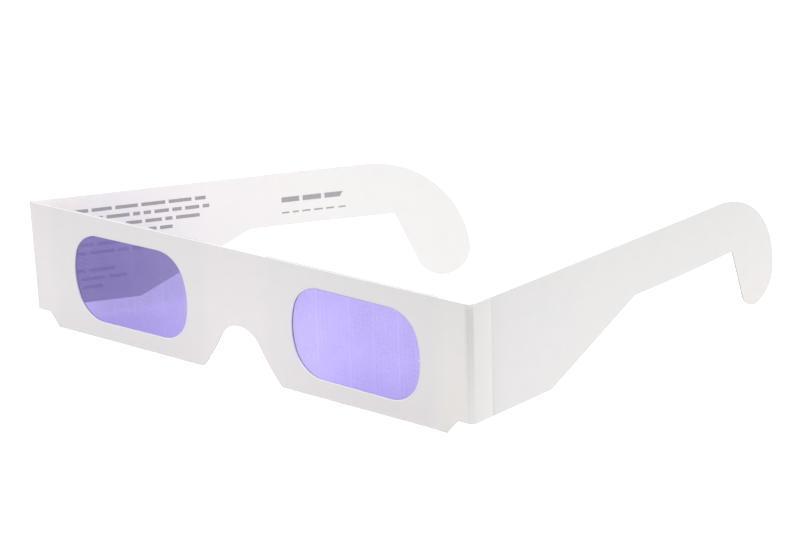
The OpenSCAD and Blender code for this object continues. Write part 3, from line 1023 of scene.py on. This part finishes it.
# %% Lengths and places of the strokes
tree = strokes_tree
sizes = add_node(tree, "NodeGroupInput").outputs
index = add_node(tree, "GeometryNodeInputIndex")
count = add_node(tree, "ShaderNodeMath", {
    0: sizes["Rows"], 1: sizes["Strokes in a row"]}, operation="MULTIPLY")
row_and_part = add_node(tree, "ShaderNodeMath", {
    0: index, 1: sizes["Strokes in a row"]}, operation="DIVIDE")
row = add_node(tree, "ShaderNodeMath", {0: row_and_part}, operation="FLOOR")
length = add_node(tree, "FunctionNodeRandomValue", {
    "Min": sizes["Shortest stroke"], "Max": sizes["Longest stroke"],
    "ID": index, "Seed": sizes["Seed"]})
row_end = add_node(tree, "FunctionNodeRandomValue", {
    "Min": sizes["Shortest row"], "Max": sizes["Longest row"],
    "ID": row, "Seed": sizes["Seed"]})
step = add_node(tree, "ShaderNodeMath", {0: length, 1: sizes["Gap"]}, operation="ADD")
start = add_node(tree, "GeometryNodeAccumulateField", {
    "Value": step, "Group Index": row}).outputs["Trailing"]
end = add_node(tree, "ShaderNodeMath", {0: start, 1: length}, operation="ADD")
past_end = add_node(tree, "ShaderNodeMath", {0: end, 1: row_end}, operation="GREATER_THAN")
half = add_node(tree, "ShaderNodeMath", {0: length, 1: 0.5}, operation="MULTIPLY")
middle = add_node(tree, "ShaderNodeMath", {0: start, 1: half}, operation="ADD")
along = add_node(tree, "ShaderNodeMath", {0: middle, 1: sizes["First along"]}, operation="ADD")
drop = add_node(tree, "ShaderNodeMath", {0: row, 1: sizes["Row pitch"]}, operation="MULTIPLY")
up = add_node(tree, "ShaderNodeMath", {0: sizes["First up"], 1: drop}, operation="SUBTRACT")
spot = add_node(tree, "ShaderNodeCombineXYZ", {"X": along, "Z": up})
print("nodes so far:", len(tree.nodes))

# %% [markdown]
# Each point stores its stroke's length, and whether that runs past the row's end,
# because its index changes once others are deleted. It gets a flat box of that
# length, and the boxes are made real so that they can be bent.

# %% Strokes on their points
STROKE_VERTS_ALONG = 7
points = add_node(tree, "GeometryNodePoints", {"Count": count})
points = add_node(tree, "GeometryNodeSetPosition", {"Geometry": points, "Position": spot})
for name, value in (("length", length), ("past_end", past_end)):
    points = add_node(tree, "GeometryNodeStoreNamedAttribute", {
        "Geometry": points, "Name": name, "Value": value}, data_type="FLOAT", domain="POINT")
stored_end, stored_length = (
    add_node(tree, "GeometryNodeInputNamedAttribute", {"Name": name}, data_type="FLOAT")
    for name in ("past_end", "length"))
points = add_node(tree, "GeometryNodeDeleteGeometry", {
    "Geometry": points, "Selection": stored_end}, domain="POINT")
slab_size = add_node(tree, "ShaderNodeCombineXYZ", {
    "X": 1.0, "Y": sizes["Ink thickness"], "Z": sizes["Stroke height"]})
slab = add_node(tree, "GeometryNodeMeshCube", {
    "Size": slab_size, "Vertices X": STROKE_VERTS_ALONG})
stretch = add_node(tree, "ShaderNodeCombineXYZ", {"X": stored_length, "Y": 1.0, "Z": 1.0})
laid = add_node(tree, "GeometryNodeInstanceOnPoints", {
    "Points": points, "Instance": slab, "Scale": stretch})
solid = add_node(tree, "GeometryNodeRealizeInstances", {"Geometry": laid})
print("nodes by now:", len(tree.nodes))

# %% Bend on to the bowed temple
BOW_R = 435 * MM
BOW_START = Vector((67, 0, 2.3)) * MM
BOW_TILT = math.radians(31)
spot = add_node(tree, "GeometryNodeInputPosition")
offset = add_node(tree, "ShaderNodeVectorMath", {0: spot, 1: BOW_START}, operation="SUBTRACT")
past_start = add_node(tree, "ShaderNodeVectorMath", {
    0: offset, 1: (math.cos(BOW_TILT), 0, -math.sin(BOW_TILT))}, operation="DOT_PRODUCT")
reach = add_node(tree, "ShaderNodeMath", {0: past_start, 1: 0.0}, operation="MAXIMUM")
square = add_node(tree, "ShaderNodeMath", {0: reach, 1: reach}, operation="MULTIPLY")
under_root = add_node(tree, "ShaderNodeMath", {0: BOW_R * BOW_R, 1: square}, operation="SUBTRACT")
root = add_node(tree, "ShaderNodeMath", {0: under_root}, operation="SQRT")
sag = add_node(tree, "ShaderNodeMath", {0: BOW_R, 1: root}, operation="SUBTRACT")
shift = add_node(tree, "ShaderNodeCombineXYZ", {"Y": sag})
bent = add_node(tree, "GeometryNodeSetPosition", {"Geometry": solid, "Offset": shift})
inky = add_node(tree, "GeometryNodeSetMaterial", {"Geometry": bent, "Material": sizes["Ink"]})
add_node(tree, "NodeGroupOutput", {0: inky})
print("nodes in all:", len(tree.nodes))

# %% Sizes of the blocks, in mm
INK_MM = 0.012
COMMON = {
    "Strokes in a row": 24, "Row pitch": 2.43, "Shortest stroke": 1.6, "Longest stroke": 7.2,
    "Gap": 1.0, "Stroke height": 1.0, "Ink thickness": 2 * INK_MM, "Ink": grey_ink}
BLOCK_SIZES = ("Rows", "First along", "First up", "Shortest row", "Longest row", "Seed")
STROKE_BLOCKS = [{**COMMON, **dict(zip(BLOCK_SIZES, sizes)), **others} for sizes, others in (
    ((3, 8.6, 13.2, 39, 41, 3), {}),
    ((1, 8.6, 5.9, 29, 31, 6), {}),
    ((2, 8.6, 3.3, 22, 28, 8), {"Ink": pale_ink}),
    ((3, 8.6, -4.2, 11, 16, 5), {"Ink": pale_ink}),
    ((1, 69.3, 9.8, 18, 20, 2), {
        "Stroke height": 1.5, "Shortest stroke": 4.8, "Longest stroke": 5.8}),
    ((1, 69.3, 6.0, 18, 20, 11), {
        "Stroke height": 0.45, "Shortest stroke": 1.2, "Longest stroke": 2.6}))]
print("rows of strokes:", sum(block["Rows"] for block in STROKE_BLOCKS))

# %% Blocks of strokes, made into one mesh
strokes = bmesh.new()
for number, block in enumerate(STROKE_BLOCKS):
    blank = bpy.data.objects.new("strokes_blank", bpy.data.meshes.new("strokes_blank"))
    bpy.context.scene.collection.objects.link(blank)
    modifier = blank.modifiers.new("rows", "NODES")
    modifier.node_group = strokes_tree
    for name, value in block.items():
        modifier[socket_names[name]] = value * MM if name in LENGTH_INPUTS else value
    evaluated = blank.evaluated_get(bpy.context.evaluated_depsgraph_get())
    made = bpy.data.meshes.new_from_object(evaluated)
    strokes.from_mesh(made)
    strokes.faces.ensure_lookup_table()
    for face in strokes.faces[-len(made.polygons):]:
        face.material_index = inks.index(block["Ink"])
    print("block", number, "has", len(made.polygons), "faces")
    bpy.data.objects.remove(blank)

# %% Strokes on the right temple
corner, outward, along = temple_frame(RIGHT)
to_temple = Matrix((along, -outward, Vector((0, 0, 1)))).transposed().to_4x4()
strokes.transform(Matrix.Translation(corner * MM) @ to_temple)
piece = add_piece("right_temple_strokes", strokes, inks)
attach(piece, "right_arm")
